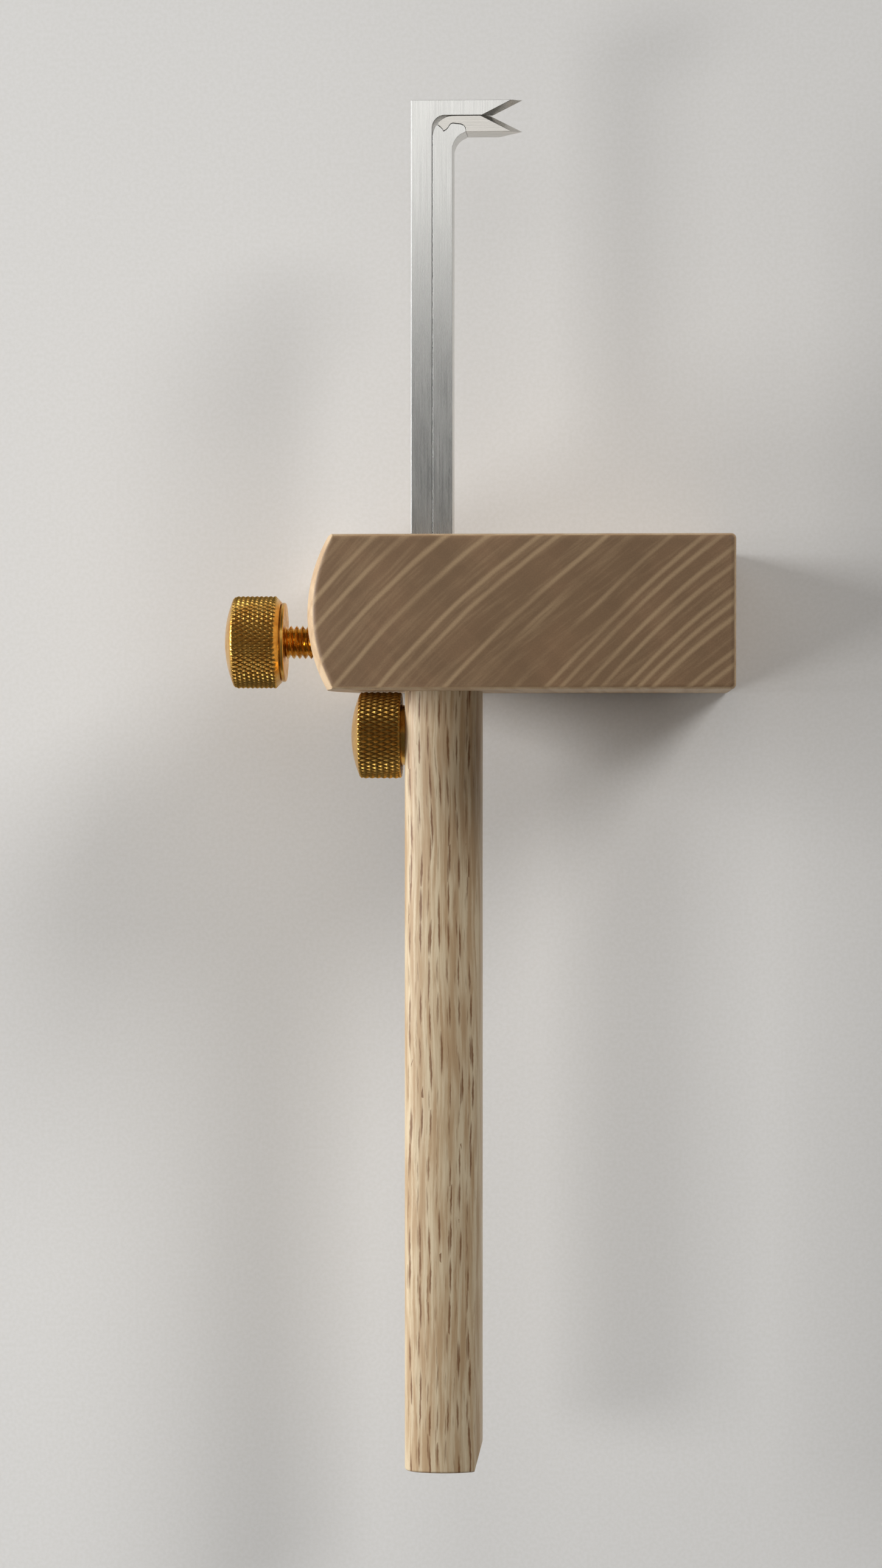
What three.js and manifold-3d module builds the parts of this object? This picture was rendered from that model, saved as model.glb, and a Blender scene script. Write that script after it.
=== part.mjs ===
// Mortise marking gauge: a wooden fence that slides on a wooden stem, and two hooked
// steel blades that slide through the stem and are locked by a knurled brass screw.
//
// Millimetres, +Z up. The gauge stands on one end of its fence, so the stem lies level:
// +X is the way the blade hooks point, +Y runs along the stem towards the blades, and
// +Z runs along the fence's grain. Inside `gauge` the origin is on the stem's centre line
// at the middle of the fence's thickness; the group is lifted by half the fence's length.

import * as THREE from 'three';
import { mergeVertices } from 'three/addons/utils/BufferGeometryUtils.js';
import Module from 'manifold-3d';

const wasm = await Module();
wasm.setup();

// ---- Driving dimensions -------------------------------------------------------------

const fence = {
  thickness: 25.5,      // along the stem
  length: 84,           // along the grain, Z
  right: 49.9,          // flat right side
  left: -22.8,          // crown of the rounded left side
  sectionRadius: 26,    // rounding of the left side seen from an end
  crown: 3.1,           // how far the left side swells at mid length
  endChamfer: 0.9,
  cornerChamfer: 0.8,   // long corners of the right side
};

const stem = {
  halfWidth: 6.5,
  halfDepth: 9,
  crown: 2.3,           // swell of the front and back faces
  leftRounding: 2,
  rightChamfer: 1,
  top: 12.25,           // just inside the fence's working face
  bottom: -147.05,
  endChamfer: 0.5,
  taperWidth: 0.92,     // relief cut on the right of the lower end
  taperHeight: 3.5,
  grooveEnd: -138,      // the blade channel stops short of the lower end
};

const blades = {
  left: -5.45,          // left side of the outer blade
  depth: 8,
  outerWidth: 3.6,
  innerWidth: 3.4,
  gap: 0.1,
  top: 88.9,
  tail: -67.75,
  reach: 19.1,          // from the left side to the cutting edges
  outerHook: 2.6,       // thickness of the hooks
  innerHook: 2.75,
  bevelAngle: 27,       // degrees
  pointDepth: 1.2,      // depth of the edge's foremost point below the front side
  pointSetback: 1.8,    // how far the edge falls back at the front side
  farSetback: 4.2,      // and at the far side
  shoulderRadius: 3.6,
  throatHeight: 2.6,    // inner blade, under its hook
  throatPull: 0.95,     // how far below the hook that curve's control point lies
  noseLength: 0.7,      // where the inner bar swells under its hook
  noseDrop: 0.32,
  hookFillet: 2.2,      // outer blade, under its hook
  jointGap: 0.08,       // between the inner blade's bar and its edge steel
};

const fit = 0.1;        // clearance of every sliding or turning fit

const fenceScrew = {
  y: -4.25,             // axis, below the fence's middle
  headRadius: 8,
  headLeft: -36.4,
  headRight: -28.75,
  domeHeight: 1.55,
  coneRadius: 7,
  coneLength: 0.6,
  grooveRadius: 6.2,
  rimRadius: 6.85,
  rimLeft: -28,
  rimRight: -27.4,
  threadRadius: 2.9,
  tip: -10,
};

const fenceBush = { radius: 4.5, left: -21.2, right: -13 };
const fenceShoe = { radius: 3.9, left: -9.7, right: -6.8 };

const stemScrew = {
  y: -20.35,
  headRadius: 7.5,
  headLeft: -14.5,
  headRight: -7.3,
  domeHeight: 1.5,
  recessRadius: 5.5,
  recessLeft: -10.4,
  threadRadius: 2.4,
  tip: -7.1,
};

const clampBarrel = { radius: 5.2, left: -10.1, right: 4.4 };
const stemShoe = { radius: 2.35, left: -6.8, right: -5.6 };

const coverGap = 0.1;
const roundSegments = 48;
const shoeSegments = 32;

const colours = {
  fenceWood: 0x78634f,
  stemWood: 0xc9b48e,
  brass: 0xb98a3a,
  steel: 0x9c9c9a,
  edgeSteel: 0x8a8a88,
};

// ---- Sizes worked out from them ------------------------------------------------------

const faceY = fence.thickness / 2;
const outerRight = blades.left + blades.outerWidth;
const innerLeft = outerRight + blades.gap;
const innerRight = innerLeft + blades.innerWidth;
const tipX = blades.left + blades.reach;
const channel = {
  left: blades.left - fit,
  right: innerRight + fit,
  halfDepth: blades.depth / 2 + fit,
};

// ---- Helpers -------------------------------------------------------------------------

function toSolid(geometry) {
  const bare = geometry.index ? geometry.toNonIndexed() : geometry.clone();
  bare.deleteAttribute('normal');
  bare.deleteAttribute('uv');
  const merged = mergeVertices(bare, 1e-4);
  const mesh = new wasm.Mesh({
    numProp: 3,
    vertProperties: new Float32Array(merged.attributes.position.array),
    triVerts: new Uint32Array(merged.index.array),
  });
  return new wasm.Manifold(mesh);
}

function toGeometry(solid) {
  const mesh = solid.getMesh();
  const geometry = new THREE.BufferGeometry();
  geometry.setAttribute('position', new THREE.BufferAttribute(mesh.vertProperties, 3));
  geometry.setIndex(new THREE.BufferAttribute(mesh.triVerts, 1));
  geometry.computeVertexNormals();
  return geometry;
}

function cut(geometry, ...tools) {
  return toGeometry(tools.reduce((solid, tool) => solid.subtract(toSolid(tool)), toSolid(geometry)));
}

function box(x0, x1, y0, y1, z0, z1) {
  const geometry = new THREE.BoxGeometry(x1 - x0, y1 - y0, z1 - z0);
  return geometry.translate((x0 + x1) / 2, (y0 + y1) / 2, (z0 + z1) / 2);
}

// A turned solid along +X: the profile is a list of [x, radius] from left to right.
function turned(profile, y, segments = roundSegments) {
  const points = profile.map(([x, radius]) => new THREE.Vector2(radius, x));
  return new THREE.LatheGeometry(points, segments).rotateZ(-Math.PI / 2).translate(0, y, 0);
}

function rod(x0, x1, radius, y, segments = roundSegments) {
  return turned([[x0, 0], [x0, radius], [x1, radius], [x1, 0]], y, segments);
}

// The points of a domed left end: from the axis out to the rim, as [x, radius].
function dome(left, height, radius, steps = 6) {
  const sphere = (radius * radius + height * height) / (2 * height);
  return Array.from({ length: steps + 1 }, (_, i) => {
    const r = (radius * i) / steps;
    return [left + sphere - Math.sqrt(sphere * sphere - r * r), r];
  });
}

function part(name, geometry, color, metalness, roughness) {
  const material = new THREE.MeshStandardMaterial({ color, metalness, roughness });
  const mesh = new THREE.Mesh(geometry, material);
  mesh.name = name;
  return mesh;
}

const wooden = (name, geometry, color) => part(name, geometry, color, 0, 0.65);
const brass = (name, geometry) => part(name, geometry, colours.brass, 1, 0.3);
const steel = (name, geometry, color = colours.steel) => part(name, geometry, color, 1, 0.35);

// ---- Stem section --------------------------------------------------------------------

// The stem's section, in X and Z: crowned front and back, rounded left corners and
// chamfered right corners. `grow` offsets it outwards.
function stemSection(grow = 0) {
  const w = stem.halfWidth + grow;
  const d = stem.halfDepth + grow;
  const radius = (w * w + stem.crown * stem.crown) / (2 * stem.crown);
  const faceAt = (x) => d - radius + Math.sqrt(radius * radius - x * x);
  const rounding = stem.leftRounding;
  const chamfer = stem.rightChamfer;
  const steps = 8;
  const shape = new THREE.Shape();
  shape.moveTo(w, -faceAt(w) + chamfer);
  shape.lineTo(w, faceAt(w) - chamfer);
  for (let i = 0; i <= steps; i += 1) {
    const x = w - chamfer - ((2 * w - chamfer - rounding) * i) / steps;
    shape.lineTo(x, faceAt(x));
  }
  shape.quadraticCurveTo(-w, faceAt(-w), -w, faceAt(-w) - rounding);
  shape.lineTo(-w, -faceAt(-w) + rounding);
  shape.quadraticCurveTo(-w, -faceAt(-w), -w + rounding, -faceAt(-w + rounding));
  for (let i = 1; i <= steps; i += 1) {
    const x = -w + rounding + ((2 * w - chamfer - rounding) * i) / steps;
    shape.lineTo(x, -faceAt(x));
  }
  return shape;
}

// The section above extruded along the stem from `top` down to `bottom`.
function stemBar(top, bottom, grow = 0) {
  const options = { depth: top - bottom, bevelEnabled: false, curveSegments: 4 };
  const geometry = new THREE.ExtrudeGeometry(stemSection(grow), options);
  return geometry.rotateX(Math.PI / 2).translate(0, top, 0);
}

// ---- Fence ---------------------------------------------------------------------------

// The fence's outline at a height z from the middle, inset by `inset` at the chamfered
// ends. The rounded left side moves out towards mid length.
function fenceRing(z, inset) {
  const half = fence.length / 2;
  const swellRadius = (half * half + fence.crown * fence.crown) / (2 * fence.crown);
  const fall = swellRadius - Math.sqrt(swellRadius * swellRadius - z * z);
  const y = faceY - inset;
  const apex = fence.left + fall + inset;
  const centre = apex + fence.sectionRadius;
  const steps = 12;
  const ring = [];
  const right = fence.right - inset;
  const corner = fence.cornerChamfer;
  ring.push([right, -y + corner], [right, y - corner], [right - corner, y]);
  const sweep = Math.asin(y / fence.sectionRadius);
  for (let i = 0; i <= steps; i += 1) {
    const angle = sweep - (2 * sweep * i) / steps;
    ring.push([centre - fence.sectionRadius * Math.cos(angle), fence.sectionRadius * Math.sin(angle)]);
  }
  ring.push([right - corner, -y]);
  return ring.map(([px, py]) => new THREE.Vector3(px, py, z));
}

// A closed body through rings of equal length, with flat ends.
function loft(rings) {
  const count = rings[0].length;
  const positions = rings.flat().flatMap((p) => [p.x, p.y, p.z]);
  const indices = [];
  for (let level = 0; level < rings.length - 1; level += 1) {
    for (let i = 0; i < count; i += 1) {
      const a = level * count + i;
      const b = level * count + ((i + 1) % count);
      indices.push(a, b, b + count, a, b + count, a + count);
    }
  }
  const last = (rings.length - 1) * count;
  for (let i = 1; i < count - 1; i += 1) {
    indices.push(0, i + 1, i, last, last + i, last + i + 1);
  }
  const geometry = new THREE.BufferGeometry();
  geometry.setAttribute('position', new THREE.Float32BufferAttribute(positions, 3));
  geometry.setIndex(indices);
  return geometry;
}

function fenceBlock() {
  const half = fence.length / 2;
  const flat = half - fence.endChamfer;
  const levels = 12;
  const rings = [fenceRing(-half, fence.endChamfer)];
  for (let i = 0; i <= levels; i += 1) {
    rings.push(fenceRing(-flat + (2 * flat * i) / levels, 0));
  }
  rings.push(fenceRing(half, fence.endChamfer));
  const past = 1;
  return cut(
    loft(rings),
    stemBar(faceY + past, -faceY - past, fit),
    rod(fence.left - past, fenceBush.right, fenceBush.radius + fit, fenceScrew.y),
    rod(fenceBush.right - past, -stem.halfWidth + past, fenceShoe.radius + fit, fenceScrew.y),
  );
}

function threadBush() {
  const { left, right, radius } = fenceBush;
  const bore = fenceScrew.threadRadius + fit;
  const profile = [[left, bore], [left, radius], [right, radius], [right, bore], [left, bore]];
  return turned(profile, fenceScrew.y);
}

function fenceThumbScrew() {
  const s = fenceScrew;
  const coneEnd = s.headRight + s.coneLength;
  const profile = [
    ...dome(s.headLeft - s.domeHeight, s.domeHeight, s.headRadius),
    [s.headRight, s.headRadius],
    [coneEnd, s.coneRadius],
    [coneEnd, s.grooveRadius],
    [s.rimLeft, s.grooveRadius],
    [s.rimLeft, s.rimRadius],
    [s.rimRight, s.rimRadius],
    [s.rimRight, s.threadRadius],
    [s.tip, s.threadRadius],
    [s.tip, 0],
  ];
  return turned(profile, s.y);
}

// ---- Stem ----------------------------------------------------------------------------

function stemBody() {
  const { halfWidth, halfDepth, bottom, top, endChamfer, taperWidth, taperHeight } = stem;
  const past = 1;
  const groove = box(channel.left, channel.right, stem.grooveEnd, top + past,
    -halfDepth - past, channel.halfDepth);
  const barrelHole = rod(-halfWidth - past, clampBarrel.right + fit, clampBarrel.radius + fit, stemScrew.y);
  const taper = new THREE.BoxGeometry(halfWidth, 6 * taperHeight, 4 * halfDepth)
    .translate(halfWidth / 2, 0, 0)
    .rotateZ(-Math.atan2(taperWidth, taperHeight))
    .translate(halfWidth - taperWidth, bottom, 0);
  const diamond = 4;
  const chamfers = [1, -1].map((side) => new THREE.BoxGeometry(diamond, diamond, 4 * halfDepth)
    .rotateZ(Math.PI / 4)
    .translate(side * halfWidth, bottom - diamond / Math.SQRT2 + endChamfer, 0));
  return cut(stemBar(top, bottom), groove, barrelHole, taper, ...chamfers);
}

// The strip glued over the groove, flush with the crowned back of the stem.
function channelCover() {
  const strip = box(channel.left + coverGap, channel.right - coverGap,
    stem.grooveEnd + coverGap, stem.top, -2 * stem.halfDepth, -channel.halfDepth - coverGap);
  const flush = toSolid(stemBar(stem.top, stem.bottom)).intersect(toSolid(strip));
  const barrelHole = rod(-stem.halfWidth, clampBarrel.right + fit, clampBarrel.radius + fit, stemScrew.y);
  return toGeometry(flush.subtract(toSolid(barrelHole)));
}

// A brass barrel across the stem, with a window that the blades pass through.
function barrel() {
  const { left, right, radius } = clampBarrel;
  const window = box(channel.left, channel.right, stemScrew.y - 2 * radius, stemScrew.y + 2 * radius,
    -channel.halfDepth, channel.halfDepth);
  const bore = rod(left - 1, 0, stemScrew.threadRadius + fit, stemScrew.y);
  return cut(rod(left, right, radius, stemScrew.y), window, bore);
}

function stemThumbScrew() {
  const s = stemScrew;
  const profile = [
    ...dome(s.headLeft - s.domeHeight, s.domeHeight, s.headRadius),
    [s.headRight, s.headRadius],
    [s.headRight, s.recessRadius],
    [s.recessLeft, s.recessRadius],
    [s.recessLeft, s.threadRadius],
    [s.tip, s.threadRadius],
    [s.tip, 0],
  ];
  return turned(profile, s.y);
}

// ---- Blades --------------------------------------------------------------------------

function bladePlate(shape) {
  const options = { depth: blades.depth, bevelEnabled: false, curveSegments: 8 };
  return new THREE.ExtrudeGeometry(shape, options).translate(0, 0, -blades.depth / 2);
}

// Two blocks that grind a hook to a pointed edge. The edge lies in the plane y = edgeY;
// `side` is +1 where the bevel faces up and -1 where it faces down. Both facets meet on a
// ridge that runs back from the point at the bevel angle.
function bevelTools(edgeY, side) {
  const { depth, bevelAngle, pointDepth, pointSetback, farSetback } = blades;
  const slope = THREE.MathUtils.degToRad(bevelAngle);
  const point = new THREE.Vector3(tipX, edgeY, depth / 2 - pointDepth);
  const ridge = new THREE.Vector3(-Math.cos(slope), side * Math.sin(slope), 0);
  const nearEdge = new THREE.Vector3(-pointSetback, 0, pointDepth);
  const farEdge = new THREE.Vector3(-farSetback, 0, pointDepth - depth);
  return [nearEdge, farEdge].map((edge) => {
    const outward = new THREE.Vector3().crossVectors(ridge, edge).normalize();
    outward.multiplyScalar(Math.sign(outward.x));
    const sideways = new THREE.Vector3().crossVectors(ridge, outward);
    const placed = new THREE.Matrix4().makeBasis(ridge, outward, sideways).setPosition(point);
    const ahead = 4;
    const behind = 9;
    const out = 6;
    const across = 14;
    return box(-ahead, behind, 0, out, -across, across).applyMatrix4(placed);
  });
}

function outerBlade() {
  const { left, top, tail, outerHook, hookFillet } = blades;
  const innerCornerY = top - outerHook;
  const shape = new THREE.Shape();
  shape.moveTo(left, tail);
  shape.lineTo(outerRight, tail);
  shape.lineTo(outerRight, innerCornerY - hookFillet);
  shape.absarc(outerRight + hookFillet, innerCornerY - hookFillet, hookFillet, Math.PI, Math.PI / 2, true);
  shape.lineTo(tipX, innerCornerY);
  shape.lineTo(tipX, top);
  shape.lineTo(left, top);
  return cut(bladePlate(shape), ...bevelTools(top, -1));
}

// The joint where the inner blade's hard edge steel is laid on its bar: from the outer
// shoulder, round a locating hump, to the nose under the hook. `gap` moves it into the bar.
function jointLine(gap = 0) {
  const hump = [
    [-0.85, 84.65], [0.15, 83.6], [1, 84.5], [1.8, 84.97], [3.15, 84.75], [3.75, 84.3], [3.98, 83.75],
  ];
  return hump.map(([x, y]) => new THREE.Vector2(x - gap / 4, y - gap));
}

const innerTop = blades.top - blades.outerHook - blades.gap;
const hookUnder = innerTop - blades.innerHook;
const shoulder = { x: innerLeft + blades.shoulderRadius, y: innerTop - blades.shoulderRadius };
const jointStartAngle = Math.atan2(jointLine()[0].y - shoulder.y, jointLine()[0].x - shoulder.x);

function innerBladeEdge() {
  const line = jointLine();
  const throatStart = line[line.length - 1];
  const shape = new THREE.Shape();
  shape.moveTo(line[0].x, line[0].y);
  line.slice(1).forEach((p) => shape.lineTo(p.x, p.y));
  shape.lineTo(throatStart.x, hookUnder);
  shape.lineTo(tipX, hookUnder);
  shape.lineTo(tipX, innerTop);
  shape.lineTo(shoulder.x, innerTop);
  shape.absarc(shoulder.x, shoulder.y, blades.shoulderRadius, Math.PI / 2, jointStartAngle, false);
  return cut(bladePlate(shape), ...bevelTools(hookUnder, 1));
}

function innerBladeBar() {
  const line = jointLine(blades.jointGap).reverse();
  const noseX = line[0].x - blades.noseLength;
  const noseY = hookUnder - blades.noseDrop;
  const arcStart = jointStartAngle + blades.jointGap / blades.shoulderRadius;
  const shape = new THREE.Shape();
  shape.moveTo(innerLeft, blades.tail);
  shape.lineTo(innerRight, blades.tail);
  shape.lineTo(innerRight, hookUnder - blades.throatHeight);
  shape.quadraticCurveTo(innerRight, hookUnder - blades.throatPull, noseX, noseY);
  line.forEach((p) => shape.lineTo(p.x, p.y));
  shape.absarc(shoulder.x, shoulder.y, blades.shoulderRadius, arcStart, Math.PI, false);
  return bladePlate(shape);
}

// ---- The assembly --------------------------------------------------------------------

const fenceGroup = new THREE.Group();
fenceGroup.add(wooden('fence_block', fenceBlock(), colours.fenceWood));
fenceGroup.add(brass('fence_thread_bush', threadBush()));

const fenceLock = new THREE.Group();
fenceLock.add(brass('fence_thumb_screw', fenceThumbScrew()));
fenceLock.add(brass('fence_clamp_shoe',
  rod(fenceShoe.left, fenceShoe.right, fenceShoe.radius, fenceScrew.y, shoeSegments)));

const stemGroup = new THREE.Group();
stemGroup.add(wooden('stem', stemBody(), colours.stemWood));
stemGroup.add(wooden('stem_channel_cover', channelCover(), colours.stemWood));
stemGroup.add(brass('stem_clamp_barrel', barrel()));

const stemLock = new THREE.Group();
stemLock.add(brass('stem_thumb_screw', stemThumbScrew()));
stemLock.add(brass('stem_clamp_shoe',
  rod(stemShoe.left, stemShoe.right, stemShoe.radius, stemScrew.y, shoeSegments)));

const bladeGroup = new THREE.Group();
bladeGroup.add(steel('outer_blade', outerBlade()));
bladeGroup.add(steel('inner_blade_bar', innerBladeBar()));
bladeGroup.add(steel('inner_blade_edge', innerBladeEdge(), colours.edgeSteel));

const gauge = new THREE.Group();
gauge.position.z = fence.length / 2;
gauge.add(fenceGroup, fenceLock, stemGroup, stemLock, bladeGroup);

export default gauge;
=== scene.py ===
"""Looks of the mortise marking gauge: refined meshes and procedural materials around the
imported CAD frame.

Sizes are in millimetres and become metres when a mesh is made. X is the way the blade hooks point,
Y runs along the stem towards the blades and Z runs up along the fence's grain.
"""

import math

import bpy
from mathutils import Matrix, Vector


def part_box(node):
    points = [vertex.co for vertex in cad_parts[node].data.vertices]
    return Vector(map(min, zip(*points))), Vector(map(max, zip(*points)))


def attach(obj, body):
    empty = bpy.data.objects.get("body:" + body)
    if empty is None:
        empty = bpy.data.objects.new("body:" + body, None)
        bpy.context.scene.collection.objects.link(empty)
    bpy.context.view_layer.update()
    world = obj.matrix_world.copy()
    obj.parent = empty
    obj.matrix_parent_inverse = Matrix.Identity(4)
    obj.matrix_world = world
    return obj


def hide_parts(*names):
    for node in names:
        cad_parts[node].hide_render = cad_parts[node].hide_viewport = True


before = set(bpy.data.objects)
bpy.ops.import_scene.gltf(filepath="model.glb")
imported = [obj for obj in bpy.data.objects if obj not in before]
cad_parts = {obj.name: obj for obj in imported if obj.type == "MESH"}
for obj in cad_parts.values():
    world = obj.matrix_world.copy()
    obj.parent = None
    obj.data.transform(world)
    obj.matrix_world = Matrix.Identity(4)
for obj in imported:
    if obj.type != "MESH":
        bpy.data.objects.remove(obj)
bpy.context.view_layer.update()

MM = 0.001


def limits(node):
    """The lowest and highest corner of a CAD node, in millimetres."""
    low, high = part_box(node)
    return low / MM, high / MM


def radius_of(low, high):
    """The radius of a round piece that lies along X, from its box."""
    return (high.y - low.y) / 2


# ---- Sizes from the frame --------------------------------------------------------------

FENCE_LOW, FENCE_HIGH = limits("fence_block")
STEM_LOW, STEM_HIGH = limits("stem")
COVER_LOW, COVER_HIGH = limits("stem_channel_cover")
BARREL_LOW, BARREL_HIGH = limits("stem_clamp_barrel")
BUSH_LOW, BUSH_HIGH = limits("fence_thread_bush")
FENCE_SHOE_LOW, FENCE_SHOE_HIGH = limits("fence_clamp_shoe")
STEM_SHOE_LOW, STEM_SHOE_HIGH = limits("stem_clamp_shoe")
FENCE_SCREW_LOW, FENCE_SCREW_HIGH = limits("fence_thumb_screw")
STEM_SCREW_LOW, STEM_SCREW_HIGH = limits("stem_thumb_screw")
OUTER_LOW, OUTER_HIGH = limits("outer_blade")
INNER_LOW, INNER_HIGH = limits("inner_blade_bar")
EDGE_LOW, EDGE_HIGH = limits("inner_blade_edge")

MID_Z = (FENCE_LOW.z + FENCE_HIGH.z) / 2
FACE_Y = FENCE_HIGH.y
FENCE_SCREW_Y = (BUSH_LOW.y + BUSH_HIGH.y) / 2
STEM_SCREW_Y = (BARREL_LOW.y + BARREL_HIGH.y) / 2
BLADE_LEFT = OUTER_LOW.x
INNER_LEFT = INNER_LOW.x
TIP_X = OUTER_HIGH.x

# ---- Sizes that the frame's boxes don't give -------------------------------------------

FIT = 0.1                  # clearance of every sliding or turning fit

FENCE_SECTION_RADIUS = 26.0
FENCE_CROWN = 3.1
FENCE_EDGE_RADIUS = 0.9
FENCE_CORNER = 0.8

STEM_CROWN = 2.3
STEM_HALF_DEPTH = 9.0
STEM_LEFT_ROUNDING = 2.0
STEM_RIGHT_CHAMFER = 1.0
STEM_END_RADIUS = 0.5
TAPER_WIDTH = 0.92
TAPER_HEIGHT = 3.5

OUTER_WIDTH = 3.6
INNER_WIDTH = 3.4
OUTER_RIGHT = BLADE_LEFT + OUTER_WIDTH
INNER_RIGHT = INNER_LEFT + INNER_WIDTH
GROOVE_LEFT = BLADE_LEFT - FIT
GROOVE_RIGHT = INNER_RIGHT + FIT
HOOK_THICKNESS = 2.6
FILLET = 2.2
SHOULDER_RADIUS = 3.6
BEVEL_ANGLE = math.radians(27)
POINT_DEPTH = 1.2
POINT_SETBACK = 1.8
FAR_SETBACK = 4.2
JOINT_GAP = 0.08           # between the inner blade's bar and its edge steel
THROAT_HEIGHT = 2.6        # where the inner bar starts to curve out under its hook

FENCE_THREAD = {"major": 2.9, "minor": 2.3, "pitch": 1.0}
STEM_THREAD = {"major": 2.4, "minor": 1.9, "pitch": 0.8}
KNURL_DEPTH = 0.38
KNURL_SPACING = 0.92
KNURL_STEPS = 8            # mesh columns to one diamond
TURNED_SEGMENTS = 96
AXIS_RADIUS = 0.02         # a turned end closes on a ring this small


# ---- Mesh helpers ----------------------------------------------------------------------

def finish_mesh(name, verts, faces, sharp=30):
    """A mesh object from points in millimetres, smooth except at edges sharper than `sharp`
    degrees."""
    mesh = bpy.data.meshes.new(name)
    mesh.from_pydata([Vector(v) * MM for v in verts], [], faces)
    mesh.validate()
    obj = bpy.data.objects.new(name, mesh)
    bpy.context.scene.collection.objects.link(obj)
    smooth(obj, sharp)
    return obj


def smooth(obj, sharp=30):
    """Smooth shading that breaks at edges sharper than `sharp` degrees."""
    obj.data.polygons.foreach_set("use_smooth", [True] * len(obj.data.polygons))
    obj.data.set_sharp_from_angle(angle=math.radians(sharp))
    obj.data.update()


def loft(name, rings, sharp=30):
    """A closed body through rings of equal length, with flat ends."""
    count = len(rings[0])
    verts = [p for ring in rings for p in ring]
    faces = []
    for level in range(len(rings) - 1):
        for i in range(count):
            a = level * count + i
            b = level * count + (i + 1) % count
            faces.append((a, b, b + count, a + count))
    last = (len(rings) - 1) * count
    faces.append(tuple(range(count - 1, -1, -1)))
    faces.append(tuple(range(last, last + count)))
    return finish_mesh(name, verts, faces, sharp)


def turned(name, profile, y):
    """A solid turned about a line along X. profile is [(x, radius)] from left to right, on the axis
    at both ends."""
    angles = [2 * math.pi * i / TURNED_SEGMENTS for i in range(TURNED_SEGMENTS)]
    rings = []
    for x, radius in profile:
        radius = max(radius, AXIS_RADIUS)
        rings.append([(x, y + radius * math.cos(t), MID_Z + radius * math.sin(t)) for t in angles])
    return loft(name, rings)


def box_mesh(name, low, high):
    """A plain box, used as a cutter."""
    x, y, z = zip(low, high)
    rings = [[(x[0], y[0], h), (x[1], y[0], h), (x[1], y[1], h), (x[0], y[1], h)] for h in z]
    return loft(name, rings)


def extrude(name, outline, z_low, z_high):
    """An outline in X and Y, counter-clockwise, made solid between two heights."""
    return loft(name, [[(x, y, z) for x, y in outline] for z in (z_low, z_high)])


def apply_modifiers(obj):
    """Replaces the mesh with what its modifiers make of it."""
    graph = bpy.context.evaluated_depsgraph_get()
    mesh = bpy.data.meshes.new_from_object(obj.evaluated_get(graph))
    obj.modifiers.clear()
    obj.data = mesh


def boolean(obj, cutter, operation="DIFFERENCE"):
    """Cuts obj with cutter, or keeps what they share, and deletes the cutter."""
    modifier = obj.modifiers.new("cut", "BOOLEAN")
    modifier.operation = operation
    modifier.solver = "EXACT"
    modifier.object = cutter
    apply_modifiers(obj)
    bpy.data.objects.remove(cutter)


def soften(obj, width, segments=2, angle=28):
    """Small rounded edges that catch the light. The faces between them stay flat in their
    shading."""
    modifier = obj.modifiers.new("bevel", "BEVEL")
    modifier.width = width * MM
    modifier.segments = segments
    modifier.limit_method = "ANGLE"
    modifier.angle_limit = math.radians(angle)
    modifier.use_clamp_overlap = True
    modifier.harden_normals = True
    apply_modifiers(obj)


def arc(centre, radius, start, end, steps):
    """Points on a circle from one angle in degrees to another."""
    points = []
    for i in range(steps + 1):
        angle = math.radians(start + (end - start) * i / steps)
        points.append((centre[0] + radius * math.cos(angle), centre[1] + radius * math.sin(angle)))
    return points


def bezier(start, control, end, steps):
    """Points on a quadratic curve."""
    points = []
    for i in range(steps + 1):
        t = i / steps
        a, b, c = (1 - t) ** 2, 2 * t * (1 - t), t * t
        points.append(tuple(a * p + b * q + c * r for p, q, r in zip(start, control, end)))
    return points


def piece(obj, body, material, replaced=None):
    """Puts the material on, parents the piece to its body's empty, and hides the CAD node that it
    replaces, if one is given.
    """
    obj.data.materials.clear()
    obj.data.materials.append(material)
    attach(obj, body)
    if replaced:
        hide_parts(replaced)


# ---- Node helpers ----------------------------------------------------------------------

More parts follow.
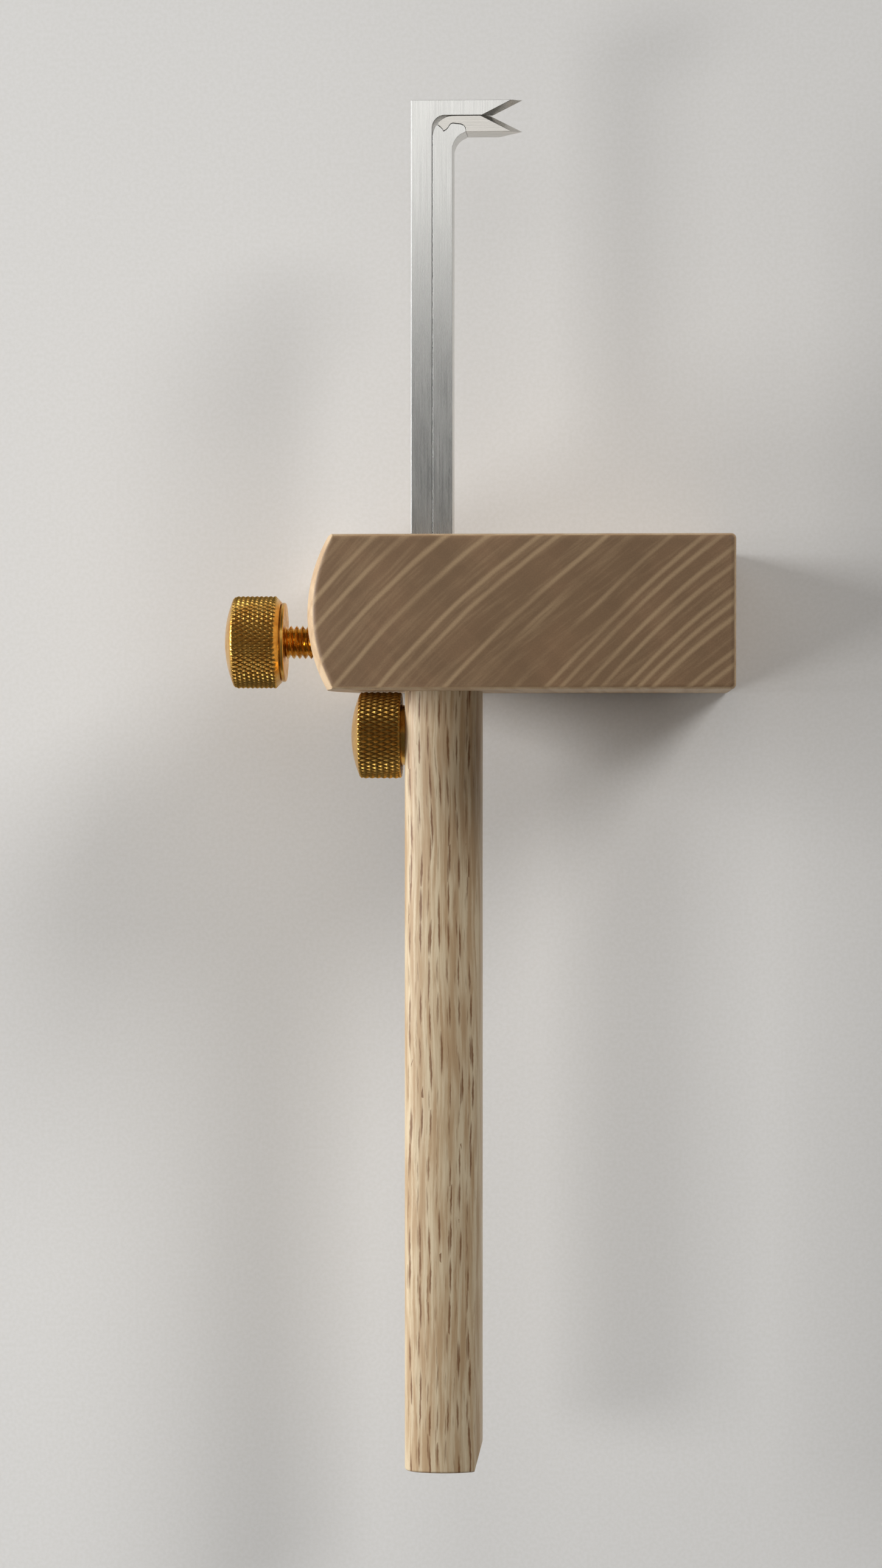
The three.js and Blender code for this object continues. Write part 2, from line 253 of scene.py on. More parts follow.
class Tree:
    """Short calls for building one material's nodes. Its coordinates are in millimetres."""

    def __init__(self, name):
        self.material = bpy.data.materials.new(name)
        self.material.use_nodes = True
        self.nodes = self.material.node_tree.nodes
        self.links = self.material.node_tree.links
        self.shader = self.nodes["Principled BSDF"]
        self.coordinates = self.node("TexCoord")
        self.place = self.vector("MULTIPLY", self.coordinates.outputs["Object"], (1 / MM,) * 3)

    def facing(self, axis):
        """1 where the surface faces along an axis, 0 where it runs along it."""
        normal = self.split(self.coordinates.outputs["Normal"])
        return self.math("ABSOLUTE", normal["xyz".index(axis)])

    def node(self, kind, **settings):
        made = self.nodes.new("ShaderNode" + kind)
        for key, value in settings.items():
            setattr(made, key, value)
        return made

    def feed(self, socket, value):
        if isinstance(value, bpy.types.NodeSocket):
            self.links.new(value, socket)
        else:
            socket.default_value = value

    def math(self, operation, a, b=0.0):
        made = self.node("Math", operation=operation)
        self.feed(made.inputs[0], a)
        self.feed(made.inputs[1], b)
        return made.outputs[0]

    def times(self, a, b):
        return self.math("MULTIPLY", a, b)

    def plus(self, a, b):
        return self.math("ADD", a, b)

    def vector(self, operation, a, b):
        made = self.node("VectorMath", operation=operation)
        self.feed(made.inputs[0], a)
        self.feed(made.inputs[1], b)
        return made.outputs[0]

    def split(self, vector):
        made = self.node("SeparateXYZ")
        self.feed(made.inputs[0], vector)
        return made.outputs

    def join(self, x, y, z):
        made = self.node("CombineXYZ")
        for socket, value in zip(made.inputs, (x, y, z)):
            self.feed(socket, value)
        return made.outputs[0]

    def ramp(self, value, low, high, out_low=0.0, out_high=1.0):
        """A smooth step from out_low at low to out_high at high."""
        made = self.node("MapRange", interpolation_type="SMOOTHSTEP")
        for socket, number in zip(made.inputs, (value, low, high, out_low, out_high)):
            self.feed(socket, number)
        return made.outputs[0]

    def noise(self, place, scales, detail=3.0, rough=0.5):
        """Noise over a place that is scaled by a factor along each axis."""
        made = self.node("TexNoise")
        self.feed(made.inputs["Vector"], self.vector("MULTIPLY", place, scales))
        self.feed(made.inputs["Scale"], 1.0)
        self.feed(made.inputs["Detail"], detail)
        self.feed(made.inputs["Roughness"], rough)
        return made.outputs[0]

    def cells(self, vector, randomness):
        """The nearest cell's random value and its point."""
        made = self.node("TexVoronoi")
        self.feed(made.inputs["Vector"], vector)
        self.feed(made.inputs["Scale"], 1.0)
        self.feed(made.inputs["Randomness"], randomness)
        return self.split(made.outputs["Color"])[0], made.outputs["Position"]

    def lines(self, value):
        """Distance to the nearest of irregularly spaced sheets, one to each unit of value."""
        made = self.node("TexVoronoi", voronoi_dimensions="1D")
        self.feed(made.inputs["W"], value)
        self.feed(made.inputs["Scale"], 1.0)
        return made.outputs["Distance"]

    def mix(self, factor, a, b, blend="MIX"):
        made = self.node("Mix", data_type="RGBA", blend_type=blend)
        self.feed(made.inputs[0], factor)
        self.feed(made.inputs[6], a)
        self.feed(made.inputs[7], b)
        return made.outputs[2]

    def shade(self, colour, amount):
        """A colour multiplied by an amount of light."""
        return self.mix(1.0, colour, self.join(amount, amount, amount), "MULTIPLY")

    def bump(self, height, distance, strength):
        """A bump whose height of 1 stands `distance` millimetres proud."""
        made = self.node("Bump")
        self.feed(made.inputs["Strength"], strength)
        self.feed(made.inputs["Distance"], distance * MM)
        self.feed(made.inputs["Height"], height)
        self.links.new(made.outputs[0], self.shader.inputs["Normal"])

    def set(self, **values):
        """Sets the shader's sockets; an underscore in a name stands for a space."""
        for key, value in values.items():
            self.feed(self.shader.inputs[key.replace("_", " ")], value)


def rgb(red, green, blue):
    """A colour given as 0 to 255 on screen, as the linear colour that nodes use."""
    def linear(c):
        c /= 255
        return c / 12.92 if c <= 0.04045 else ((c + 0.055) / 1.055) ** 2.4
    return (linear(red), linear(green), linear(blue), 1.0)


# ---- Materials -------------------------------------------------------------------------

def fence_wood():
    """Hardwood with its grain along Z. The tree's heart is off to the lower left, so on the end
    grain the pale rays run up to the right, flatter and closer together towards the right, and the
    growth rings cross them."""
    tree = Tree("fence_wood")
    x, y, z = tree.split(tree.place)
    turn = tree.math("RADIANS", tree.ramp(x, -30.0, 30.0, 50.0, 38.0))
    rise = tree.math("SUBTRACT", tree.times(x, tree.math("TANGENT", turn)), y)
    along = tree.plus(tree.times(x, 0.7), tree.times(y, 0.7))
    wander = tree.times(tree.noise(tree.place, (0.1, 0.1, 0.015), 2.0), 0.4)
    across = tree.plus(tree.times(rise, tree.math("COSINE", turn)), wander)
    rays = fence_rays(tree, x, across, tree.join(across, along, z))

    streaks = tree.noise(tree.join(across, along, z), (1.3, 0.09, 0.04), 3.0, 0.6)
    rings = tree.noise(tree.join(along, across, z), (0.4, 0.02, 0.004), 2.0)
    patches = tree.noise(tree.place, (0.09, 0.09, 0.02))
    grain = tree.noise(tree.place, (4.5, 4.5, 0.12), 3.0, 0.65)

    end_grain = tree.mix(tree.ramp(patches, 0.35, 0.65), rgb(119, 93, 66), rgb(128, 99, 71))
    end_grain = tree.mix(tree.ramp(rings, 0.38, 0.64, 0.0, 0.3), end_grain, rgb(108, 83, 58))
    end_grain = tree.mix(tree.ramp(streaks, 0.45, 0.72, 0.0, 0.24), end_grain, rgb(165, 138, 104))
    end_grain = tree.mix(tree.times(rays, 0.68), end_grain, rgb(172, 145, 110))
    long_grain = tree.mix(tree.ramp(rings, 0.35, 0.65), rgb(206, 178, 142), rgb(190, 158, 121))
    long_grain = tree.mix(tree.times(rays, 0.4), long_grain, rgb(172, 136, 98))
    colour = tree.mix(tree.ramp(tree.facing("z"), 0.55, 0.92), long_grain, end_grain)
    colour = tree.shade(colour, tree.ramp(grain, 0.3, 0.7, 0.9, 1.08))
    roughness = tree.ramp(grain, 0.3, 0.7, 0.5, 0.62)
    tree.set(Base_Color=colour, Roughness=roughness, Specular_IOR_Level=0.4)
    tree.bump(grain, 0.02, 0.4)
    return tree.material


def fence_rays(tree, x, across, place):
    """Thin sheets across the rings, closer together at greater x, that fade in and out."""
    spacing = tree.ramp(x, -22.0, 45.0, 4.2, 2.6)
    sheets = tree.lines(tree.math("DIVIDE", across, spacing))
    width = tree.math("DIVIDE", 0.55, spacing)
    share = tree.math("DIVIDE", sheets, width)
    strength = tree.ramp(tree.noise(place, (0.12, 0.035, 0.04), 1.0), 0.36, 0.6, 0.12, 1.0)
    return tree.times(tree.ramp(share, 0.1, 1.15, 1.0, 0.0), strength)


def stem_wood():
    """Pale hardwood with its grain along Y and its rays seen edge-on, as short brown spindles that
    stand in staggered columns on the front and back."""
    tree = Tree("stem_wood")
    x, y, z = tree.split(tree.place)
    wander = tree.times(tree.noise(tree.place, (0.1, 0.03, 0.1), 2.0), 2.0)
    ragged = tree.times(tree.noise(tree.place, (2.5, 0.9, 2.5), 2.0), 0.25)
    across = tree.plus(tree.plus(x, wander), ragged)
    flecks = tree.math("MAXIMUM", spindles(tree, (across, y, z), 0.0),
                       spindles(tree, (across, y, z), 37.3))
    flecks = tree.times(flecks, tree.ramp(tree.facing("z"), 0.3, 0.7))
    fibres = tree.noise(tree.join(across, y, z), (3.2, 0.07, 3.2), 4.0, 0.6)
    streaks = tree.noise(tree.join(across, y, z), (1.2, 0.06, 1.0))

    colour = tree.mix(tree.ramp(streaks, 0.36, 0.64), rgb(213, 194, 161), rgb(182, 152, 115))
    colour = tree.mix(tree.ramp(fibres, 0.42, 0.7, 0.0, 0.34), colour, rgb(161, 130, 93))
    colour = tree.mix(tree.times(flecks, 0.9), colour, rgb(114, 70, 26))
    colour = tree.mix(tree.ramp(tree.facing("y"), 0.6, 0.95), colour, rgb(150, 122, 94))
    roughness = tree.ramp(fibres, 0.3, 0.7, 0.48, 0.6)
    tree.set(Base_Color=colour, Roughness=roughness, Specular_IOR_Level=0.6)
    height = tree.math("SUBTRACT", tree.times(fibres, 0.5), tree.times(flecks, 0.3))
    tree.bump(height, 0.02, 0.5)
    return tree.material


def spindles(tree, place, offset):
    """Slim tapered flecks along Y, one to a cell, of varied length and depth of colour."""
    cell_size = (1.7, 6.4, 12.0)
    shifted = (place[0], tree.plus(place[1], offset), tree.plus(place[2], offset))
    scaled = tree.join(*(tree.math("DIVIDE", part, size) for part, size in zip(shifted, cell_size)))
    value, centre = tree.cells(scaled, 0.6)
    aside = tree.split(tree.vector("SUBTRACT", scaled, centre))
    length = tree.ramp(value, 0.0, 1.0, 1.3, 3.3)
    half_width = tree.ramp(value, 0.0, 1.0, 0.09, 0.2)
    reach = tree.math("DIVIDE", tree.times(aside[1], cell_size[1]), length)
    width = tree.math("DIVIDE", tree.times(aside[0], cell_size[0]), half_width)
    distance = tree.plus(tree.times(reach, reach), tree.times(width, width))
    depth = tree.ramp(value, 0.1, 0.9, 0.35, 1.0)
    return tree.times(tree.ramp(distance, 0.0, 1.35, 1.0, 0.0), depth)


def steel(name, colour, brushed_along, roughness):
    """Satin steel with fine even grinding lines along one axis and faint smudges."""
    tree = Tree(name)
    fine = tuple(0.06 if axis == brushed_along else 9.0 for axis in "xyz")
    broad = tuple(0.08 if axis == brushed_along else 0.35 for axis in "xyz")
    lines = tree.noise(tree.place, fine, 3.0, 0.7)
    smudges = tree.noise(tree.place, broad)
    amount = tree.times(tree.ramp(lines, 0.3, 0.7, 0.95, 1.03),
                        tree.ramp(smudges, 0.3, 0.7, 0.96, 1.03))
    rough = tree.plus(tree.ramp(lines, 0.3, 0.7, roughness - 0.03, roughness + 0.04),
                      tree.ramp(smudges, 0.35, 0.7, -0.01, 0.02))
    tree.set(Base_Color=tree.shade(colour, amount), Metallic=1.0, Roughness=rough)
    tree.bump(lines, 0.003, 0.4)
    return tree.material


def brass(name, roughness, polish_lines, band=None):
    """Turned brass: fine tool rings about the screw axis, with slight tarnish in patches. band is a
    knurl's (left, right, radius, axis_y). Painted shade darkens the knurl's hollows, which are also
    rougher."""
    tree = Tree(name)
    rings = tree.noise(tree.place, (polish_lines, 0.3, 0.3))
    tarnish = tree.noise(tree.place, (0.5, 0.5, 0.5), 5.0, 0.6)
    colour = tree.mix(tree.ramp(tarnish, 0.4, 0.72), rgb(220, 174, 90), rgb(196, 144, 66))
    rough = tree.plus(tree.ramp(tarnish, 0.4, 0.75, roughness, roughness + 0.12),
                      tree.ramp(rings, 0.35, 0.65, -0.03, 0.03))
    if band:
        valley_shade = knurl_valley_shade(tree, *band)
        # painted shade: the knurl's hollows are darkened towards brown-black, standing in for the
        # shade and dark reflections there
        colour = tree.mix(tree.times(valley_shade, 0.75), colour, rgb(66, 42, 16))
        rough = tree.plus(rough, tree.times(valley_shade, 0.2))
    tree.set(Base_Color=colour, Metallic=1.0, Roughness=rough)
    tree.bump(rings, 0.003, 0.5)
    return tree.material


def knurl_valley_shade(tree, left, right, radius, axis_y):
    """Where painted shade goes on a knurl: 1 at the bottom of its hollows, 0 on its points and off
    the knurled band.
    """
    x, y, z = tree.split(tree.place)
    aside = tree.math("POWER", tree.math("SUBTRACT", y, axis_y), 2.0)
    above = tree.math("POWER", tree.math("SUBTRACT", z, MID_Z), 2.0)
    out = tree.math("SQRT", tree.plus(aside, above))
    deep = tree.ramp(out, radius - KNURL_DEPTH, radius - 0.2 * KNURL_DEPTH, 1.0, 0.0)
    edge = 0.3
    past_left = tree.math("GREATER_THAN", x, left + edge)
    before_right = tree.math("LESS_THAN", x, right - edge)
    return tree.times(deep, tree.times(past_left, before_right))


def floor_paper():
    """Pale paper with a faint tooth."""
    tree = Tree("floor_paper")
    tooth = tree.noise(tree.place, (1.5, 1.5, 1.5))
    colour = tree.mix(tree.ramp(tooth, 0.3, 0.7), rgb(226, 224, 220), rgb(230, 228, 225))
    tree.set(Base_Color=colour, Roughness=0.85)
    return tree.material


# ---- Fence -----------------------------------------------------------------------------

def fence_ring(z, inset):
    """The fence's outline at a height z from the middle: flat right side, rounded left side that
    swells towards mid length."""
    half = (FENCE_HIGH.z - FENCE_LOW.z) / 2
    swell_radius = (half ** 2 + FENCE_CROWN ** 2) / (2 * FENCE_CROWN)
    fall = swell_radius - math.sqrt(swell_radius ** 2 - z * z)
    y = FACE_Y - inset
    right = FENCE_HIGH.x - inset
    centre = FENCE_LOW.x + fall + inset + FENCE_SECTION_RADIUS
    sweep = math.degrees(math.asin(y / FENCE_SECTION_RADIUS))
    outline = arc((centre, 0), FENCE_SECTION_RADIUS, 180 - sweep, 180 + sweep, 32)
    outline += arc((right - FENCE_CORNER, -y + FENCE_CORNER), FENCE_CORNER, -90, 0, 5)
    outline += arc((right - FENCE_CORNER, y - FENCE_CORNER), FENCE_CORNER, 0, 90, 5)
    return [(px, py, z + MID_Z) for px, py in outline]


def fence_block(material):
    """The fence with its mortise for the stem and its hole for the bush and the shoe."""
    half = (FENCE_HIGH.z - FENCE_LOW.z) / 2
    flat = half - FENCE_EDGE_RADIUS
    levels = 36
    rings = [fence_ring(-flat + 2 * flat * i / levels, 0) for i in range(levels + 1)]
    for angle in (18, 36, 54, 72, 90):
        out = FENCE_EDGE_RADIUS * math.sin(math.radians(angle))
        inset = FENCE_EDGE_RADIUS * (1 - math.cos(math.radians(angle)))
        rings.append(fence_ring(flat + out, inset))
        rings.insert(0, fence_ring(-flat - out, inset))
    block = loft("fence_body", rings)
    boolean(block, stem_bar("mortise", FACE_Y + 1, -FACE_Y - 1, FIT))
    bush_clearance = 0.03
    bush_radius = radius_of(BUSH_LOW, BUSH_HIGH) + bush_clearance
    bush_hole = rod_profile(FENCE_LOW.x - 1, BUSH_HIGH.x, bush_radius)
    boolean(block, turned("bush_hole", bush_hole, FENCE_SCREW_Y))
    shoe_radius = radius_of(FENCE_SHOE_LOW, FENCE_SHOE_HIGH) + FIT
    shoe_hole = rod_profile(BUSH_HIGH.x - 1, STEM_LOW.x + 1, shoe_radius)
    boolean(block, turned("shoe_hole", shoe_hole, FENCE_SCREW_Y))
    smooth(block, 35)
    piece(block, "fence", material, "fence_block")


def rod_profile(left, right, radius, chamfer=0.0):
    """A rod for turned(), with a chamfer of the given size on both ends."""
    return [(left, 0), (left, radius - chamfer), (left + chamfer, radius),
            (right - chamfer, radius), (right, radius - chamfer), (right, 0)]


# ---- Stem ------------------------------------------------------------------------------

def stem_outline(grow=0.0, scale=1.0):
    """The stem's section in X and Z about its centre: crowned front and back, rounded left corners
    and chamfered right corners."""
    w = STEM_HIGH.x + grow
    d = STEM_HALF_DEPTH + grow
    radius = (w * w + STEM_CROWN ** 2) / (2 * STEM_CROWN)

    def face(x):
        return d - radius + math.sqrt(radius * radius - x * x)

    steps = 20
    left, right = -w + STEM_LEFT_ROUNDING, w - STEM_RIGHT_CHAMFER
    across = [left + (right - left) * i / steps for i in range(steps + 1)]
    front = [(x, face(x)) for x in across]
    corner = bezier((-w, face(w) - STEM_LEFT_ROUNDING), (-w, face(w)), front[0], 8)
    chamfer = [(w, face(w) - STEM_RIGHT_CHAMFER)]
    upper = corner + front[1:] + chamfer
    lower = [(x, -z) for x, z in reversed(upper)]
    return [(x * scale, z * scale) for x, z in upper + lower]


def stem_ring(y, grow=0.0, scale=1.0):
    """The stem's outline at a place along it."""
    return [(x, y, z + MID_Z) for x, z in stem_outline(grow, scale)]


def stem_bar(name, top, bottom, grow=0.0):
    """A plain length of the stem between two places along it."""
    return loft(name, [stem_ring(y, grow) for y in (top, bottom)])


def stem_body(material):
    """The stem with its rounded foot, the relief cut on the foot's right, the groove for the blades
    and the hole for the clamp barrel."""
    bottom = STEM_LOW.y
    rings = [stem_ring(STEM_HIGH.y)]
    for angle in (0, 22.5, 45, 67.5, 90):
        down = STEM_END_RADIUS * (1 - math.sin(math.radians(angle)))
        inset = STEM_END_RADIUS * (1 - math.cos(math.radians(angle)))
        rings.append(stem_ring(bottom + down, 0.0, 1 - inset / STEM_HIGH.x))
    body = loft("stem_body", rings)
    past_stem = STEM_HALF_DEPTH + 2
    taper = box_mesh("taper", (0, -10, -past_stem), (8, 20, past_stem))
    tilt = Matrix.Rotation(-math.atan2(TAPER_WIDTH, TAPER_HEIGHT), 4, "Z")
    corner = Vector((STEM_HIGH.x - TAPER_WIDTH, bottom, MID_Z)) * MM
    taper.data.transform(Matrix.Translation(corner) @ tilt)
    boolean(body, taper)
    groove_low = (GROOVE_LEFT, COVER_LOW.y - FIT, MID_Z - past_stem)
    groove_high = (GROOVE_RIGHT, STEM_HIGH.y + 1, OUTER_HIGH.z + FIT)
    boolean(body, box_mesh("groove", groove_low, groove_high))
    boolean(body, turned("barrel_hole", barrel_hole_profile(), STEM_SCREW_Y))
    smooth(body, 35)
    soften(body, 0.2, 3, 35)
    piece(body, "stem", material, "stem")


def barrel_hole_profile():
    """The hole across the stem, just clear of the clamp barrel."""
    clearance = 0.05
    radius = radius_of(BARREL_LOW, BARREL_HIGH) + clearance
    return rod_profile(STEM_LOW.x - 1, BARREL_HIGH.x + clearance, radius)


def channel_cover(material):
    """The strip glued over the groove, flush with the stem's crowned back."""
    strip = stem_bar("stem_cover_strip", COVER_HIGH.y, COVER_LOW.y)
    low = (COVER_LOW.x, COVER_LOW.y - 1, 0)
    high = (COVER_HIGH.x, COVER_HIGH.y + 1, COVER_HIGH.z)
    boolean(strip, box_mesh("strip_box", low, high), "INTERSECT")
    boolean(strip, turned("barrel_notch", barrel_hole_profile(), STEM_SCREW_Y))
    soften(strip, 0.12, 2)
    piece(strip, "stem", material, "stem_channel_cover")


# ---- Brass -----------------------------------------------------------------------------

def triangle_wave(value):
    """0 at whole numbers, 1 half-way between."""
    return 1 - abs(2 * (value - math.floor(value)) - 1)


def knurl_period(angle):
    """How far along the axis one diamond of a knurl cut at `angle` degrees repeats."""
    return KNURL_SPACING / math.tan(math.radians(angle))


def knurled(name, rows, band, y, angle):
    """A turned head with a diamond knurl. rows are (x, radius) from left to right, as turned after
    the knurl was cut, and band is the knurl's (left, radius)."""
    left, radius = band
    count = round(2 * math.pi * radius / KNURL_SPACING)
    columns = count * KNURL_STEPS
    period = knurl_period(angle)
    topped = 1.08              # more than 1 leaves a small flat on each point
    rings = []
    for x, limit in rows:
        along = (x - left) / period
        ring = []
        for i in range(columns):
            turn = i / columns
            height = min(triangle_wave(count * turn + along), triangle_wave(count * turn - along))
            knurl = radius - KNURL_DEPTH * (1 - min(1.0, height * topped))
            r = max(min(limit, knurl), AXIS_RADIUS)
            turned_angle = 2 * math.pi * turn
            ring.append((x, y + r * math.cos(turned_angle), MID_Z + r * math.sin(turned_angle)))
        rings.append(ring)
    return loft(name, rings, 40)


def dome_rows(left, height, radius):
    """A domed left end, from the axis out to the rim."""
    steps = 10
    sphere = (radius ** 2 + height ** 2) / (2 * height)
    rows = []
    for i in range(steps + 1):
        r = radius * i / steps
        rows.append((left + sphere - math.sqrt(sphere ** 2 - r * r), r))
    return rows


def knurl_rows(left, right, radius, angle, chamfer):
    """The knurled band, with a small chamfer turned on both ends."""
    steps = round((right - left) / knurl_period(angle) * KNURL_STEPS)
    rows = []
    for i in range(steps + 1):
        x = left + (right - left) * i / steps
        drop = max(0.0, chamfer - min(x - left, right - x))
        rows.append((x, radius - drop))
    return rows


def thread(name, left, right, y, form):
    """A right-hand screw thread as real geometry, which runs out over its last turn."""
    segments = 48
    rings_per_pitch = 10
    steepness, root_flat = 1.25, 0.15
    major, minor, pitch = form["major"], form["minor"], form["pitch"]
    steps = round((right - left) / pitch * rings_per_pitch)
    rings = []
    for k in range(steps + 1):
        x = left + (right - left) * k / steps
        fade = min(1.0, (right - x) / pitch)
        ring = []
        for i in range(segments):
            turn = i / segments
            crest = triangle_wave(x / pitch - turn)
            height = min(1.0, max(0.0, crest * steepness - root_flat)) * fade
            r = minor + (major - minor) * height
            angle = 2 * math.pi * turn
            ring.append((x, y + r * math.cos(angle), MID_Z + r * math.sin(angle)))
        rings.append(ring)
    return loft(name, rings, 50)


def fence_screw(turned_brass):
    """The fence's screw: a domed and knurled head with a chamfer, a groove and a thin rim on its
    right, on a threaded shank."""
    radius = radius_of(FENCE_SCREW_LOW, FENCE_SCREW_HIGH)
    dome_left = FENCE_SCREW_LOW.x
    head_left, head_right = dome_left + 1.55, dome_left + 9.2
    cone_right, rim_left, rim_right = head_right + 0.6, head_right + 0.75, head_right + 1.35
    cone_radius, groove_radius, rim_radius, shank_radius = 6.95, 6.2, 6.85, 3.0
    angle = 30
    edge = 0.12
    rows = dome_rows(dome_left, 1.5, radius - 0.45)
    rows += knurl_rows(head_left, head_right, radius, angle, 0.4)
    rows += [(cone_right - edge, cone_radius + 0.15), (cone_right, cone_radius),
             (cone_right + 0.01, groove_radius), (rim_left - 0.01, groove_radius),
             (rim_left, rim_radius - edge), (rim_left + edge, rim_radius),
             (rim_right - edge, rim_radius), (rim_right, rim_radius - edge),
             (rim_right + 0.01, shank_radius)]
    head = knurled("fence_screw_head", rows, (head_left, radius), FENCE_SCREW_Y, angle)
    band = (head_left, head_right, radius, FENCE_SCREW_Y)
    knurl_brass = brass("fence_screw_brass", 0.28, 1.0, band)
    piece(head, "fence_screw", knurl_brass, "fence_thumb_screw")
    shank = thread("fence_screw_thread", rim_right - 0.4, FENCE_SCREW_HIGH.x, FENCE_SCREW_Y,
                   FENCE_THREAD)
    piece(shank, "fence_screw", turned_brass)


def stem_screw(turned_brass):
    """The stem's screw: a domed and knurled head, hollow on its right where it runs over the
    barrel, on a threaded shank."""
    radius = radius_of(STEM_SCREW_LOW, STEM_SCREW_HIGH)
    dome_left = STEM_SCREW_LOW.x
    head_left, head_right = dome_left + 1.5, dome_left + 8.7
    recess_left, recess_radius = dome_left + 5.6, 5.5
    angle = 24
    edge = 0.15
    rows = dome_rows(dome_left, 1.45, radius - 0.4)
    rows += knurl_rows(head_left, head_right, radius, angle, 0.3)
    rows += [(head_right, recess_radius + edge), (head_right - edge, recess_radius),
             (recess_left, recess_radius)]
    head = knurled("stem_screw_head", rows, (head_left, radius), STEM_SCREW_Y, angle)
    band = (head_left, head_right, radius, STEM_SCREW_Y)
    knurl_brass = brass("stem_screw_brass", 0.3, 1.0, band)
    piece(head, "stem_screw", knurl_brass, "stem_thumb_screw")
    shank = thread("stem_screw_thread", recess_left - 0.3, STEM_SCREW_HIGH.x, STEM_SCREW_Y,
                   STEM_THREAD)
    piece(shank, "stem_screw", turned_brass)


def clamp_barrel(material):
    """The barrel across the stem, with its window for the blades and its threaded bore."""
    radius = radius_of(BARREL_LOW, BARREL_HIGH)
    rod = rod_profile(BARREL_LOW.x, BARREL_HIGH.x, radius, 0.25)
    barrel = turned("clamp_barrel_body", rod, STEM_SCREW_Y)
    low = (GROOVE_LEFT, STEM_SCREW_Y - 2 * radius, OUTER_LOW.z - FIT)
    high = (GROOVE_RIGHT, STEM_SCREW_Y + 2 * radius, OUTER_HIGH.z + FIT)
    boolean(barrel, box_mesh("window", low, high))
    bore = rod_profile(BARREL_LOW.x - 1, 0, STEM_THREAD["major"] + FIT)
    boolean(barrel, turned("barrel_bore", bore, STEM_SCREW_Y))
    smooth(barrel, 35)
    piece(barrel, "stem", material, "stem_clamp_barrel")


def thread_bush(material):
    """The bush in the fence that the first screw threads through."""
    rod = rod_profile(BUSH_LOW.x, BUSH_HIGH.x, radius_of(BUSH_LOW, BUSH_HIGH), 0.2)
    bush = turned("thread_bush_body", rod, FENCE_SCREW_Y)
    bore = rod_profile(BUSH_LOW.x - 1, BUSH_HIGH.x + 1, FENCE_THREAD["major"] + FIT)
    boolean(bush, turned("bush_bore", bore, FENCE_SCREW_Y))
    smooth(bush, 35)
    piece(bush, "fence", material, "fence_thread_bush")


def shoe(name, low, high, y, body, node, material):
    """The disc on a screw's tip that does the pressing."""
    disc = turned(name, rod_profile(low.x, high.x, radius_of(low, high), 0.15), y)
    piece(disc, body, material, node)


# ---- Blades ----------------------------------------------------------------------------

def grind_hook(obj, edge_y, side):
    """Grinds a hook to a pointed edge in the plane y = edge_y. side is 1 where the bevel faces up
    and -1 where it faces down. The two facets meet on a ridge that runs back from the point."""
    depth = OUTER_HIGH.z - OUTER_LOW.z
    point = Vector((TIP_X, edge_y, OUTER_HIGH.z - POINT_DEPTH))
    ridge = Vector((-math.cos(BEVEL_ANGLE), side * math.sin(BEVEL_ANGLE), 0))
    front = Vector((-POINT_SETBACK, 0, POINT_DEPTH))
    back = Vector((-FAR_SETBACK, 0, POINT_DEPTH - depth))
    for edge in (front, back):
        outward = ridge.cross(edge).normalized()
        if outward.x < 0:
            outward = -outward
        across = ridge.cross(outward)
        cutter = box_mesh("grind", (-4, 0, -14), (9, 6, 14))
        basis = Matrix((ridge, outward, across)).transposed().to_4x4()
        cutter.data.transform(Matrix.Translation(point * MM) @ basis)
        boolean(obj, cutter)


def outer_blade(material):
    """The outer blade in one piece, with a fillet under its hook."""
    inner_corner = OUTER_HIGH.y - HOOK_THICKNESS
    outline = [(BLADE_LEFT, OUTER_LOW.y), (OUTER_RIGHT, OUTER_LOW.y)]
    outline += arc((OUTER_RIGHT + FILLET, inner_corner - FILLET), FILLET, 180, 90, 8)
    outline += [(TIP_X, inner_corner), (TIP_X, OUTER_HIGH.y), (BLADE_LEFT, OUTER_HIGH.y)]
    blade = extrude("outer_blade_bar", outline, OUTER_LOW.z, OUTER_HIGH.z)
    grind_hook(blade, OUTER_HIGH.y, -1)
    soften(blade, 0.06, 2)
    piece(blade, "outer_blade", material, "outer_blade")


def curve_through(start, *bends):
    """A smooth outline from start: each bend is the control point and the end of a quadratic
    curve."""
    points = [start]
    for control, end in bends:
        points += bezier(points[-1], control, end, 6)[1:]
    return points


def joint_line(gap=0.0):
    """Where the inner blade's hard edge steel is laid on its bar: from the outer shoulder down and
    round a locating hump to the nose under the hook. gap moves it into the bar."""
    line = curve_through((-0.85, 84.65),
                         ((-0.15, 84.2), (0.15, 83.6)),
                         ((0.85, 83.95), (1.1, 84.5)),
                         ((1.35, 84.97), (1.85, 84.97)),
                         ((2.4, 84.88), (3.1, 84.8)),
                         ((3.95, 84.6), (4.0, 83.6)))
    return [(x - gap / 4, y - gap) for x, y in line]


def inner_blade(bar_steel, edge_steel):
    """The inner blade's edge steel, which carries the hook, and the bar it is laid on."""
    shoulder = (INNER_LEFT + SHOULDER_RADIUS, EDGE_HIGH.y - SHOULDER_RADIUS)
    start = joint_line()[0]
    start_angle = math.degrees(math.atan2(start[1] - shoulder[1], start[0] - shoulder[0]))
    inner_blade_edge(edge_steel, shoulder, start_angle)
    gap_angle = math.degrees(JOINT_GAP / SHOULDER_RADIUS)
    inner_blade_bar(bar_steel, shoulder, start_angle + gap_angle)


